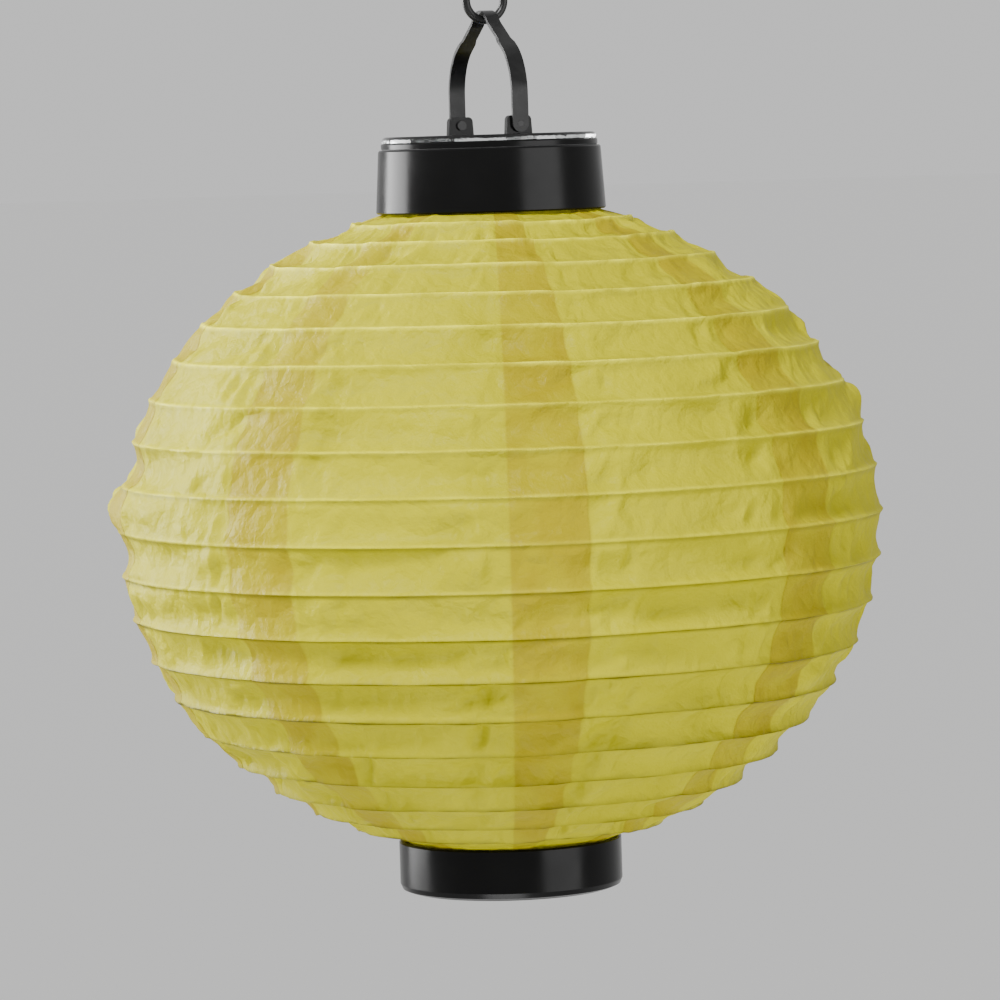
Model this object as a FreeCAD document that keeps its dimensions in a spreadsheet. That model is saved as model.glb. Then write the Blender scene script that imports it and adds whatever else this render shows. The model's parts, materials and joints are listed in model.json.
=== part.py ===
import FreeCAD, Part
import math
import os
import Sketcher

# A round hanging lantern: a wrinkled cloth shade of eight gores over nineteen wire hoops, hung between a cap
# with a solar lamp module and a base cup.  The link it hangs from holds a folding strap handle.
# Millimetres, +Z up, the origin where a hook bears inside the top of the hanging link.

os.makedirs("parts", exist_ok=True)
doc = FreeCAD.newDocument("lantern")
sheet = doc.addObject("Spreadsheet::Sheet", "sizes")
FULL_TURN = 360.0


class Size:
    """A length or angle: its value, and the sheet expression that gives it."""

    def __init__(self, value, text):
        self.value = float(value)
        self.text = text

    def _join(self, sign, other, value):
        return Size(value, f"({self.text} {sign} {size(other).text})")

    def __add__(self, other):
        return self._join("+", other, self.value + size(other).value)

    def __radd__(self, other):
        return size(other) + self

    def __sub__(self, other):
        return self._join("-", other, self.value - size(other).value)

    def __rsub__(self, other):
        return size(other) - self

    def __mul__(self, other):
        return self._join("*", other, self.value * size(other).value)

    def __rmul__(self, other):
        return size(other) * self

    def __truediv__(self, other):
        return self._join("/", other, self.value / size(other).value)

    def __neg__(self):
        return Size(-self.value, f"(-1 * {self.text})")


def size(thing):
    """Any number as a Size."""
    return thing if isinstance(thing, Size) else Size(thing, f"{thing:.6f}")


def sine(angle):
    """Sine of an angle in degrees."""
    return Size(math.sin(math.radians(angle.value)), f"sin({angle.text} * 1 deg)")


def cosine(angle):
    """Cosine of an angle in degrees."""
    return Size(math.cos(math.radians(angle.value)), f"cos({angle.text} * 1 deg)")


def root(number):
    """Square root."""
    return Size(math.sqrt(number.value), f"sqrt({number.text})")


row = [0]


def cell(alias, value):
    """One driving dimension: a plain number in the sheet under its alias."""
    row[0] += 1
    sheet.set(f"A{row[0]}", alias)
    sheet.set(f"B{row[0]}", str(value))
    sheet.setAlias(f"B{row[0]}", alias)
    return Size(value, f"sizes.{alias}")


# ---- driving dimensions -----------------------------------------------------------------------------------
# shade
shade_radius = cell("shade_radius", 127.0)
shade_half_height = cell("shade_half_height", 109.0)
collar_to_hoop = cell("collar_to_hoop", 2.5)
hoop_to_cup = cell("hoop_to_cup", 4.1)
hoop_count = 19
hoop_top_angle = cell("hoop_top_angle", 67.1)
hoop_bottom_angle = cell("hoop_bottom_angle", -64.7)
hoop_wire = cell("hoop_wire", 1.3)
hoop_facet_count = 40
gore_count = 8
gore_turn = cell("gore_seam_turn", 26.8)
gore_panel_count = 4
overlap_panel_count = 1
cloth = cell("cloth_thickness", 0.3)
layer_gap = cell("cloth_layer_gap", 0.25)
cloth_to_hoop = cell("cloth_to_hoop", 1.2)
cloth_hollow = cell("cloth_hollow", 2.4)
# hanging link
link_wire = cell("link_wire", 2.7)
link_width = cell("link_width", 15.8)
link_length = cell("link_length", 28.0)
# strap handle
strap_width = cell("strap_width", 5.4)
strap_neck = cell("strap_neck_width", 4.35)
strap_thickness = cell("strap_thickness", 1.3)
strap_reach = cell("strap_reach", 41.5)
strap_slope = cell("strap_slope", 30.0)
shoulder_bend = cell("shoulder_bend", 18.0)
crown_bend = cell("crown_bend", 10.5)
crown_angle = cell("crown_angle", 46.0)
ogee_bend = cell("ogee_bend", 6.0)
neck_height = cell("neck_height", 32.0)
# lamp module
rim_radius = cell("rim_radius", 35.8)
rim_thickness = cell("rim_thickness", 2.0)
edge_break = cell("edge_break", 0.5)
skirt_setback = cell("skirt_setback", 3.3)
module_wall = cell("module_wall", 1.6)
module_depth = cell("module_depth", 20.5)
cover_setback = cell("cover_setback", 0.3)
cover_thickness = cell("cover_thickness", 2.0)
cover_bevel = cell("cover_bevel", 0.9)
lug_setback = cell("lug_setback", 7.2)
lug_thickness = cell("lug_thickness", 2.6)
lug_foot = cell("lug_foot_width", 9.1)
lug_head = cell("lug_head_width", 8.3)
lug_height = cell("lug_height", 8.0)
lug_corner = cell("lug_corner", 1.6)
pivot_height = cell("pivot_height", 5.2)
pivot_radius = cell("pivot_radius", 1.0)
pivot_head = cell("pivot_head_radius", 1.55)
pivot_head_thickness = cell("pivot_head_thickness", 0.9)
solar_side = cell("solar_side", 40.0)
solar_thickness = cell("solar_thickness", 1.0)
solar_recess = cell("solar_recess", 1.2)
base_thickness = cell("base_thickness", 2.0)
# battery, board, switch
cell_radius = cell("battery_radius", 5.2)
cell_length = cell("battery_length", 43.5)
cell_nub = cell("battery_nub_length", 1.0)
cell_nub_radius = cell("battery_nub_radius", 1.9)
bay_length = cell("bay_length", 48.5)
bay_wall = cell("bay_wall", 1.2)
bay_height = cell("bay_height", 9.0)
contact_height = cell("contact_height", 7.6)
contact_width = cell("contact_width", 7.0)
contact_thickness = cell("contact_thickness", 0.4)
board_length = cell("board_length", 30.0)
board_width = cell("board_width", 9.0)
board_thickness = cell("board_thickness", 1.2)
board_depth = cell("board_depth", 12.0)
board_setback = cell("board_setback", 11.4)
diode_radius = cell("diode_radius", 2.5)
diode_spacing = cell("diode_spacing", 16.0)
diode_length = cell("diode_length", 8.0)
diode_tip = cell("diode_tip_length", 1.3)
lead_radius = cell("lead_radius", 0.5)
lead_spacing = cell("lead_spacing", 8.0)
lead_inset = cell("lead_inset", 2.0)
post_radius = cell("post_radius", 1.5)
post_spacing = cell("post_spacing", 24.0)
switch_length = cell("switch_length", 9.0)
switch_width = cell("switch_width", 4.4)
switch_height = cell("switch_height", 3.6)
switch_setback = cell("switch_setback", 11.4)
slider_length = cell("slider_length", 2.0)
slider_width = cell("slider_width", 1.6)
slider_foot = cell("slider_foot_length", 3.4)
slider_foot_height = cell("slider_foot_height", 1.4)
slider_proud = cell("slider_proud", 1.4)
slider_travel = cell("slider_travel", 2.5)
boss_radius = cell("boss_radius", 2.4)
boss_setback = cell("boss_setback", 4.32)
boss_angle = cell("boss_angle", 41.2)
screw_radius = cell("screw_radius", 1.1)
screw_head = cell("screw_head_radius", 2.1)
screw_head_thickness = cell("screw_head_thickness", 1.3)
screw_length = cell("screw_length", 9.0)
# battery door
door_length = cell("door_length", 50.0)
door_width = cell("door_width", 17.0)
door_thickness = cell("door_thickness", 1.6)
knuckle_radius = cell("knuckle_radius", 1.3)
door_pin = cell("door_pin_radius", 0.7)
ear_thickness = cell("ear_thickness", 2.0)
# bayonet
tab_count = 3
tab_reach = cell("tab_reach", 2.0)
tab_thickness = cell("tab_thickness", 2.0)
tab_angle = cell("tab_angle", 14.0)
tab_depth = cell("tab_depth", 12.0)
notch_spare = cell("notch_spare_angle", 4.0)
twist = cell("twist_to_release", 20.0)
# collars
collar_proud = cell("collar_proud", 1.0)
collar_depth = cell("collar_depth", 23.3)
collar_foot_wall = cell("collar_foot_wall", 2.0)
collar_play = cell("collar_play", 0.7)
flange_thickness = cell("flange_thickness", 2.0)
hem_step = cell("hem_step", 0.8)
hem_depth = cell("hem_depth", 6.3)
ring_wall = cell("clamp_ring_wall", 1.5)
seal_thickness = cell("seal_thickness", 0.8)
seal_width = cell("seal_width", 1.8)
cup_radius = cell("cup_radius", 37.0)
cup_height = cell("cup_height", 16.9)
cup_round = cell("cup_round", 2.4)
cup_wall = cell("cup_wall", 1.6)
cup_ledge = cell("cup_ledge", 1.5)
cup_plate_setback = cell("cup_plate_setback", 3.0)
cup_plate_thickness = cell("cup_plate_thickness", 2.6)
cup_plate_floor = cell("cup_plate_floor", 1.4)
# clearances
gap = cell("running_gap", 0.3)
pin_gap = cell("pin_gap", 0.05)

# ---- levels and shared places -----------------------------------------------------------------------------
def hoop_angle(index):
    """Eccentric angle of a hoop; the second term keeps the pitch even along the skin."""
    share = index / (hoop_count - 1)
    even = hoop_top_angle + (hoop_bottom_angle - hoop_top_angle) * share
    wide = shade_radius * shade_radius
    high = shade_half_height * shade_half_height
    stretch = (wide - high) / (wide + high) / 4 * math.degrees(1)
    return even + stretch * sine(even * 2)


link_eye_radius = link_width / 2 - link_wire
neck_half = strap_neck / 2
strap_rise = link_eye_radius - root(link_eye_radius * link_eye_radius - neck_half * neck_half)
strap_seat = link_wire - link_length + link_wire + strap_rise + pin_gap
cap_level = strap_seat - strap_reach
first_hoop_height = shade_half_height * sine(hoop_angle(0))
last_hoop_height = shade_half_height * sine(hoop_angle(hoop_count - 1))
collar_height = first_hoop_height + collar_to_hoop
cup_drop = hoop_to_cup - last_hoop_height
shade_level = cap_level - collar_depth - collar_height
base_level = shade_level - cup_drop - cup_height
skirt_radius = rim_radius - skirt_setback
skirt_bore = skirt_radius - module_wall
cover_radius = rim_radius - cover_setback
collar_top_radius = rim_radius + collar_proud
collar_bore = skirt_radius + tab_reach + collar_play
hem_bore = collar_bore + hem_step
collar_foot_radius = hem_bore + collar_foot_wall
cup_bore = cup_radius - cup_wall
cup_plate_radius = cup_radius - cup_plate_setback
boss_ring = skirt_bore - boss_setback
boss_x = boss_ring * cosine(boss_angle)
boss_y = boss_ring * sine(boss_angle)
board_offset = skirt_bore - board_setback
switch_offset = skirt_bore - switch_setback
lug_offset = rim_radius - lug_setback
lug_inner = lug_offset - lug_thickness / 2
lug_outer = lug_offset + lug_thickness / 2
leg_offset = lug_outer + gap + strap_thickness / 2
base_top = module_depth - base_thickness
cell_axis = gap + cell_radius - base_top
cell_end = bay_length / 2 - contact_thickness - cell_nub
board_top = -board_depth
board_foot = -(board_depth + board_thickness)
lead_y = solar_side / 2 - lead_inset
door_axis_y = -(door_width / 2 + knuckle_radius)
door_axis_z = -(module_depth + gap + knuckle_radius)
slot_start = -(slider_travel / 2)
panels = gore_count * gore_panel_count
panel_angle = size(FULL_TURN / panels)
panel_loss = 1 - cosine(panel_angle / 2)
two_layers = 2 * cloth + layer_gap
hem_top = hem_depth - gap


def hem_radius(bore):
    """Where the outer cloth layer stands inside a collar."""
    return bore - gap


def ring_radius(bore):
    """Outer radius of a clamp ring that leaves room for two cloth layers."""
    return hem_radius(bore) * (1 - panel_loss) - two_layers - gap


# ---- building helpers -------------------------------------------------------------------------------------
def placed(thing, level):
    """Stand an object at a named level."""
    thing.setExpression("Placement.Base.z", level.text)
    return thing


def body(label, level):
    """An empty body at a named level."""
    made = doc.addObject("PartDesign::Body", label)
    made.Label = label
    return placed(made, level)


def plane(owner, role):
    """One of a body's own origin planes."""
    return next(f for f in owner.Origin.OriginFeatures if f.Role == role)


def sketch(owner, role, offset=None, name="outline"):
    """An empty sketch on an origin plane, moved along its normal by an offset."""
    made = owner.newObject("Sketcher::SketchObject", name)
    made.AttachmentSupport = [(plane(owner, role), "")]
    made.MapMode = "FlatFace"
    if offset is not None:
        made.setExpression("AttachmentOffset.Base.z", offset.text)
    return made


def bind(made, constraint, length):
    """Add a driving constraint and tie it to the sheet."""
    index = made.addConstraint(constraint)
    made.setExpression(f"Constraints[{index}]", length.text)


def point(x, y):
    return FreeCAD.Vector(x.value, y.value, 0)


def arc_through(start, end, radius):
    """The short arc from start to end; a positive radius turns left on the way."""
    reach = end - start
    middle = (start + end) / 2
    side = FreeCAD.Vector(-reach.y, reach.x, 0).normalize()
    depth = math.sqrt(max(radius * radius - (reach.Length / 2) ** 2, 0.0))
    centre = middle + side * math.copysign(depth, radius)
    top = centre + (middle - centre).normalize() * abs(radius)
    left = radius > 0
    return (Part.Arc(start, top, end) if left else Part.Arc(end, top, start)), left


def chain(made, corners, closed=True):
    """Join corners (x, y) or (x, y, bend to reach it) by lines and arcs, each tied to the sheet."""
    spots = [(size(c[0]), size(c[1])) for c in corners]
    bends = [c[2] if len(c) > 2 else None for c in corners]
    count = len(corners)
    pieces = []
    for i in range(1, count + 1 if closed else count):
        start = point(*spots[i - 1])
        end = point(*spots[i % count])
        bend = bends[i % count]
        if bend is None:
            index = made.addGeometry(Part.LineSegment(start, end), False)
            ends = (1, 2)
        else:
            arc, left = arc_through(start, end, bend.value)
            index = made.addGeometry(arc, False)
            ends = (1, 2) if left else (2, 1)
        pieces.append((index, ends))
    for k, (index, ends) in enumerate(pieces):
        x, y = spots[k]
        bind(made, Sketcher.Constraint("DistanceX", index, ends[0], x.value), x)
        bind(made, Sketcher.Constraint("DistanceY", index, ends[0], y.value), y)
        if k:
            last, last_ends = pieces[k - 1]
            made.addConstraint(Sketcher.Constraint("Coincident", last, last_ends[1], index, ends[0]))
    index, ends = pieces[-1]
    if closed:
        made.addConstraint(Sketcher.Constraint("Coincident", index, ends[1], pieces[0][0], pieces[0][1][0]))
    else:
        x, y = spots[-1]
        bind(made, Sketcher.Constraint("DistanceX", index, ends[1], x.value), x)
        bind(made, Sketcher.Constraint("DistanceY", index, ends[1], y.value), y)
    for k, (index, ends) in enumerate(pieces):
        bend = bends[(k + 1) % count]
        if bend is not None:
            length = bend if bend.value > 0 else -bend
            bind(made, Sketcher.Constraint("Radius", index, length.value), length)
    return made


def circle(made, x, y, radius):
    """A circle tied to the sheet."""
    x, y = size(x), size(y)
    index = made.addGeometry(Part.Circle(point(x, y), FreeCAD.Vector(0, 0, 1), radius.value), False)
    bind(made, Sketcher.Constraint("DistanceX", index, 3, x.value), x)
    bind(made, Sketcher.Constraint("DistanceY", index, 3, y.value), y)
    bind(made, Sketcher.Constraint("Radius", index, radius.value), radius)
    return made


def rectangle(made, x, y, width, height):
    """A rectangle about a centre."""
    x, y, width, height = size(x), size(y), size(width), size(height)
    left, right = x - width / 2, x + width / 2
    low, high = y - height / 2, y + height / 2
    return chain(made, [(left, low), (right, low), (right, high), (left, high)])


def feature(owner, kind, profile, **numbers):
    """A sketched feature with its numbers tied to the sheet."""
    made = owner.newObject(kind, kind.split("::")[1].lower())
    made.Profile = profile
    for name, length in numbers.items():
        if isinstance(length, Size):
            made.setExpression(name, length.text)
        else:
            setattr(made, name, length)
    return made


def turned(owner, corners, angle=FULL_TURN, kind="PartDesign::Revolution", centred=False):
    """Turn a closed outline, drawn in the XZ plane, about the body's Z axis."""
    profile = chain(sketch(owner, "XZ_Plane"), corners)
    made = owner.newObject(kind, kind.split("::")[1].lower())
    made.Profile = profile
    made.ReferenceAxis = (profile, ["V_Axis"])
    if isinstance(angle, Size):
        made.setExpression("Angle", angle.text)
    else:
        made.Angle = angle
    made.Midplane = centred
    return made


def repeated(owner, original, count):
    """Copies of a feature round the body's Z axis."""
    made = owner.newObject("PartDesign::PolarPattern", "round")
    made.Originals = [original]
    made.Axis = (next(f for f in owner.Origin.OriginFeatures if f.Role == "Z_Axis"), [""])
    made.Angle = FULL_TURN
    made.Occurrences = count
    owner.Tip = made
    return made


def reflected(owner, original, role):
    """The mirror image of a feature in one of the body's origin planes."""
    made = owner.newObject("PartDesign::Mirrored", "mirrored")
    made.Originals = [original]
    made.MirrorPlane = (plane(owner, role), [""])
    owner.Tip = made
    return made


def through(owner, profile, depth, both=False, back=False):
    """A pocket of the given depth from a sketch, both ways from its plane when asked."""
    cut = feature(owner, "PartDesign::Pocket", profile, Length=depth)
    cut.Midplane = both
    cut.Reversed = back
    return cut


def block(label, x, y, z, length, width, height, level):
    """A box by its lowest corner, at a level."""
    made = doc.addObject("Part::Box", label)
    for name, value in (("Length", length), ("Width", width), ("Height", height)):
        made.setExpression(name, size(value).text)
    made.setExpression("Placement.Base.x", size(x).text)
    made.setExpression("Placement.Base.y", size(y).text)
    made.setExpression("Placement.Base.z", (level + z).text)
    return made


ALONG = {"X": FreeCAD.Rotation(FreeCAD.Vector(0, 1, 0), 90), "Y": FreeCAD.Rotation(FreeCAD.Vector(1, 0, 0), -90)}


def rod(label, x, y, z, radius, length, level, along="Z"):
    """A cylinder from a point towards +X, +Y or +Z, at a level."""
    made = doc.addObject("Part::Cylinder", label)
    made.setExpression("Radius", size(radius).text)
    made.setExpression("Height", size(length).text)
    if along in ALONG:
        made.Placement = FreeCAD.Placement(FreeCAD.Vector(0, 0, 0), ALONG[along])
    made.setExpression("Placement.Base.x", size(x).text)
    made.setExpression("Placement.Base.y", size(y).text)
    made.setExpression("Placement.Base.z", (level + z).text)
    return made


def joined(label, *pieces):
    """One solid out of several."""
    made = doc.addObject("Part::MultiFuse", label)
    made.Label = label
    made.Shapes = list(pieces)
    made.Refine = True
    return made


def cut_from(label, whole, tool):
    """A solid less another."""
    made = doc.addObject("Part::Cut", label)
    made.Label = label
    made.Base = whole
    made.Tool = tool
    return made


def grouped(label, *pieces):
    """Separate solids kept as one node."""
    made = doc.addObject("Part::Compound", label)
    made.Label = label
    made.Links = list(pieces)
    return made


def mirror_of(source, name, normal):
    """The mirror image of an object in a plane through the origin."""
    made = doc.addObject("Part::Mirroring", name)
    made.Source = source
    made.Normal = normal
    return made


ACROSS_X = FreeCAD.Vector(1, 0, 0)
ACROSS_Y = FreeCAD.Vector(0, 1, 0)


# ---- hanging link and strap handle ------------------------------------------------------------------------
def hanging_link():
    """A welded oval link of round wire; its long axis is upright."""
    owner = body("hanging_link", size(0))
    bend = link_width / 2 - link_wire / 2
    top = -link_eye_radius
    foot = link_wire * 2 - link_length + link_eye_radius
    spine = chain(
        sketch(owner, "XZ_Plane", name="spine"),
        [
            (bend, foot, bend),
            (bend, top),
            (0, top + bend, bend),
            (-bend, top, bend),
            (-bend, foot),
            (0, foot - bend, bend),
        ],
    )
    profile = circle(sketch(owner, "XY_Plane", (top + foot) / 2, "wire"), bend, 0, link_wire / 2)
    pipe = owner.newObject("PartDesign::AdditivePipe", "pipe")
    pipe.Profile = profile
    pipe.Spine = spine
    return owner


def handle_strap():
    """A bent flat strap: upright legs, round shoulders, a crown over the link, and a narrower neck."""
    owner = body("handle_strap", cap_level)
    half = strap_width / 2
    top = strap_reach + strap_thickness / 2
    crown_x = crown_bend * sine(crown_angle)
    crown_z = top - crown_bend * (1 - cosine(crown_angle))
    ogee_x = crown_x + ogee_bend * (sine(crown_angle) - sine(strap_slope))
    ogee_z = crown_z - ogee_bend * (cosine(strap_slope) - cosine(crown_angle))
    shoulder_x = leg_offset - shoulder_bend * (1 - sine(strap_slope))
    shoulder_z = ogee_z - (shoulder_x - ogee_x) * sine(strap_slope) / cosine(strap_slope)
    leg_z = shoulder_z - shoulder_bend * cosine(strap_slope)
    foot_z = pivot_height - half - edge_break
    spine = chain(
        sketch(owner, "YZ_Plane", name="spine"),
        [
            (leg_offset, foot_z),
            (leg_offset, leg_z),
            (shoulder_x, shoulder_z, shoulder_bend),
            (ogee_x, ogee_z),
            (crown_x, crown_z, -ogee_bend),
            (0, top, crown_bend),
            (-crown_x, crown_z, crown_bend),
            (-ogee_x, ogee_z, -ogee_bend),
            (-shoulder_x, shoulder_z),
            (-leg_offset, leg_z, shoulder_bend),
            (-leg_offset, foot_z),
        ],
        closed=False,
    )
    profile = rectangle(sketch(owner, "XY_Plane", foot_z, "section"), 0, leg_offset, strap_width, strap_thickness)
    pipe = owner.newObject("PartDesign::AdditivePipe", "pipe")
    pipe.Profile = profile
    pipe.Spine = spine
    front = sketch(owner, "XZ_Plane", name="front")
    neck = strap_neck / 2
    high = top + strap_thickness
    chain(
        front,
        [
            (half, pivot_height, half),
            (half, neck_height),
            (neck, neck_height + strap_thickness),
            (neck, high),
            (-neck, high),
            (-neck, neck_height + strap_thickness),
            (-half, neck_height),
            (-half, pivot_height),
            (0, pivot_height - half, half),
        ],
    )
    rectangle(front, 0, (high + foot_z) / 2, strap_width * 2, (high - foot_z) + strap_width)
    reach = (leg_offset + strap_thickness) * 2
    through(owner, front, reach, both=True)
    bore = circle(sketch(owner, "XZ_Plane", name="bore"), 0, pivot_height, pivot_radius + pin_gap)
    through(owner, bore, reach, both=True)
    return owner


def pivot_screws():
    """The two pegs that the strap turns on, with their heads inside the lugs."""
    start = lug_inner - gap / 2
    shank = rod("shank", 0, start, pivot_height, pivot_radius, leg_offset + strap_thickness / 2 - start, cap_level, "Y")
    head = rod(
        "head", 0, start - pivot_head_thickness, pivot_height, pivot_head, pivot_head_thickness, cap_level, "Y"
    )
    peg = joined("peg", shank, head)
    return grouped("pivot_screws", peg, mirror_of(peg, "far_peg", ACROSS_Y))


# ---- lamp module ------------------------------------------------------------------------------------------
def boss_places(made, radius):
    """Circles at the four base screws."""
    for side_x in (boss_x, -boss_x):
        for side_y in (boss_y, -boss_y):
            circle(made, side_x, side_y, radius)
    return made


def pair_places(made, spacing, y, radius):
    """Two circles either side of the middle."""
    circle(made, spacing / 2, y, radius)
    circle(made, -spacing / 2, y, radius)
    return made


def module_shell():
    """The cap moulding: rim, skirt with three bayonet tabs, two handle lugs, screw bosses and board posts."""
    owner = body("module_shell", cap_level)
    turned(
        owner,
        [
            (0, 0),
            (rim_radius - edge_break, 0),
            (rim_radius, -edge_break),
            (rim_radius, -rim_thickness),
            (skirt_radius, -rim_thickness),
            (skirt_radius, -module_depth),
            (skirt_bore, -module_depth),
            (skirt_bore, -rim_thickness),
            (0, -rim_thickness),
        ],
    )
    recess = rectangle(sketch(owner, "XY_Plane", name="recess"), 0, 0, solar_side + 2 * gap, solar_side + 2 * gap)
    through(owner, recess, solar_recess)
    tab = turned(
        owner,
        [
            (skirt_radius - module_wall / 2, -tab_depth),
            (skirt_radius - module_wall / 2, -(tab_depth + tab_thickness)),
            (skirt_radius + tab_reach, -(tab_depth + tab_thickness)),
            (skirt_radius + tab_reach, -tab_depth),
        ],
        tab_angle,
        centred=True,
    )
    repeated(owner, tab, tab_count)
    foot, top = lug_foot / 2, lug_head / 2
    lug_outline = chain(
        sketch(owner, "XZ_Plane", lug_inner, "lug"),
        [
            (foot, -edge_break),
            (top, lug_height - lug_corner),
            (top - lug_corner, lug_height, lug_corner),
            (lug_corner - top, lug_height),
            (-top, lug_height - lug_corner, lug_corner),
            (-foot, -edge_break),
        ],
    )
    lug = feature(owner, "PartDesign::Pad", lug_outline, Length=lug_thickness)
    reflected(owner, lug, "XZ_Plane")
    bore = circle(sketch(owner, "XZ_Plane", name="bore"), 0, pivot_height, pivot_radius + pin_gap)
    through(owner, bore, 2 * rim_radius, both=True)
    bosses = boss_places(sketch(owner, "XY_Plane", -base_top, "bosses"), boss_radius)
    feature(owner, "PartDesign::Pad", bosses, Length=base_top - rim_thickness + edge_break / 2)
    posts = pair_places(sketch(owner, "XY_Plane", board_top, "posts"), post_spacing, board_offset, post_radius)
    feature(owner, "PartDesign::Pad", posts, Length=board_depth - rim_thickness + edge_break / 2)
    pilots = boss_places(sketch(owner, "XY_Plane", -base_top, "pilots"), screw_radius + pin_gap)
    through(owner, pilots, screw_length - base_thickness + gap, back=True)
    ways = pair_places(sketch(owner, "XY_Plane", name="leads"), lead_spacing, lead_y, lead_radius + gap)
    through(owner, ways, rim_thickness + gap)
    return owner


def panel_cover():
    """The clear cover over the solar cell, with a bevelled rim and slots for the lugs."""
    owner = body("panel_cover", cap_level)
    turned(
        owner,
        [
            (0, 0),
            (cover_radius, 0),
            (cover_radius, cover_thickness - cover_bevel),
            (cover_radius - cover_bevel, cover_thickness),
            (0, cover_thickness),
        ],
    )
    slots = sketch(owner, "XY_Plane", name="slots")
    for side in (lug_offset, -lug_offset):
        rectangle(slots, 0, side, lug_foot + 2 * gap, lug_thickness + 2 * gap)
    through(owner, slots, cover_thickness + gap, back=True)
    return owner


def solar_cell():
    """The square solar cell on the floor of its recess."""
    half = solar_side / 2
    return block("solar_cell", -half, -half, -solar_recess, solar_side, solar_side, solar_thickness, cap_level)


def module_base():
    """The lid of the lamp module: battery bay, door ears, and openings for the diodes and the switch."""
    owner = body("module_base", cap_level)
    edge = skirt_bore - 2 * pin_gap
    turned(owner, [(0, -module_depth), (edge, -module_depth), (edge, -base_top), (0, -base_top)])
    bay_width = 2 * (cell_radius + gap)
    walls = sketch(owner, "XY_Plane", -base_top, "walls")
    rectangle(walls, 0, 0, bay_length + 2 * bay_wall, bay_width + 2 * bay_wall)
    rectangle(walls, 0, 0, bay_length, bay_width)
    feature(owner, "PartDesign::Pad", walls, Length=bay_height)
    bay = rectangle(sketch(owner, "XY_Plane", -base_top, "bay"), 0, 0, bay_length, bay_width)
    through(owner, bay, base_thickness + gap)
    screws = boss_places(sketch(owner, "XY_Plane", -base_top, "screws"), screw_radius + pin_gap)
    through(owner, screws, base_thickness + gap)
    lights = pair_places(
        sketch(owner, "XY_Plane", -base_top, "lights"), diode_spacing, board_offset, diode_radius + gap
    )
    through(owner, lights, base_thickness + gap)
    slot_length = slider_length + slider_travel + 2 * gap
    slot = rectangle(
        sketch(owner, "XY_Plane", -base_top, "slot"), 0, -switch_offset, slot_length, slider_width + 2 * gap
    )
    through(owner, slot, base_thickness + gap)
    ear_reach = knuckle_radius + edge_break
    ear_outline = chain(
        sketch(owner, "YZ_Plane", door_length / 2 + gap, "ear"),
        [
            (door_axis_y - ear_reach, -module_depth + edge_break),
            (door_axis_y - ear_reach, door_axis_z),
            (door_axis_y, door_axis_z - ear_reach, ear_reach),
            (door_axis_y + ear_reach, door_axis_z, ear_reach),
            (door_axis_y + ear_reach, -module_depth + edge_break),
        ],
    )
    ear = feature(owner, "PartDesign::Pad", ear_outline, Length=ear_thickness)
    reflected(owner, ear, "YZ_Plane")
    pins = circle(sketch(owner, "YZ_Plane", name="pins"), door_axis_y, door_axis_z, door_pin + pin_gap)
    through(owner, pins, door_length + 4 * ear_thickness, both=True)
    return owner


def battery_cell():
    """The rechargeable cell that lies in the bay, its button end at +X."""
    start = cell_end - cell_length
    can = rod("can", start, 0, cell_axis, cell_radius, cell_length, cap_level, "X")
    nub = rod("nub", cell_end, 0, cell_axis, cell_nub_radius, cell_nub, cap_level, "X")
    return joined("battery_cell", can, nub)


def contact_plate():
    """The flat contact that the button of the cell presses on."""
    return block(
        "contact_plate",
        bay_length / 2 - contact_thickness,
        -contact_width / 2,
        cell_axis - contact_height / 2,
        contact_thickness,
        contact_width,
        contact_height,
        cap_level,
    )


def contact_spring():
    """The folded leaf that presses the cell against the flat contact."""
    owner = body("contact_spring", cap_level)
    wall = -(bay_length / 2)
    touch = cell_end - cell_length - pin_gap
    low = cell_axis - contact_height / 2
    high = cell_axis + contact_height / 2
    leaf = chain(
        sketch(owner, "XZ_Plane"),
        [
            (wall, low),
            (touch, cell_axis),
            (touch - 3 * contact_thickness, high - contact_thickness),
            (touch - 4 * contact_thickness, high - contact_thickness),
            (touch - 1.5 * contact_thickness, cell_axis),
            (wall + contact_thickness, low + 3 * contact_thickness),
            (wall + contact_thickness, high),
            (wall, high),
        ],
    )
    feature(owner, "PartDesign::Pad", leaf, Length=contact_width - 2 * contact_thickness, Midplane=True)
    return owner


def circuit_board():
    """The charging and lamp board, against the posts of the shell."""
    return block(
        "circuit_board",
        -board_length / 2,
        board_offset - board_width / 2,
        board_foot,
        board_length,
        board_width,
        board_thickness,
        cap_level,
    )


def led_lamps():
    """Two light-emitting diodes that point down through the base."""
    x = diode_spacing / 2
    foot = board_foot - diode_length
    stem = rod("diode_stem", x, board_offset, foot, diode_radius, diode_length, cap_level)
    tip = doc.addObject("Part::Cone", "diode_tip")
    tip.setExpression("Radius1", (diode_radius / 2).text)
    tip.setExpression("Radius2", diode_radius.text)
    tip.setExpression("Height", diode_tip.text)
    tip.setExpression("Placement.Base.x", x.text)
    tip.setExpression("Placement.Base.y", board_offset.text)
    tip.setExpression("Placement.Base.z", (cap_level + foot - diode_tip).text)
    diode = joined("diode", stem, tip)
    return grouped("led_lamps", diode, mirror_of(diode, "far_diode", ACROSS_X))


def cell_leads():
    """The two stiff leads from the solar cell down to the board."""
    lead = rod(
        "lead", lead_spacing / 2, lead_y, board_top, lead_radius, board_depth - solar_recess, cap_level
    )
    return grouped("cell_leads", lead, mirror_of(lead, "far_lead", ACROSS_X))


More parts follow.
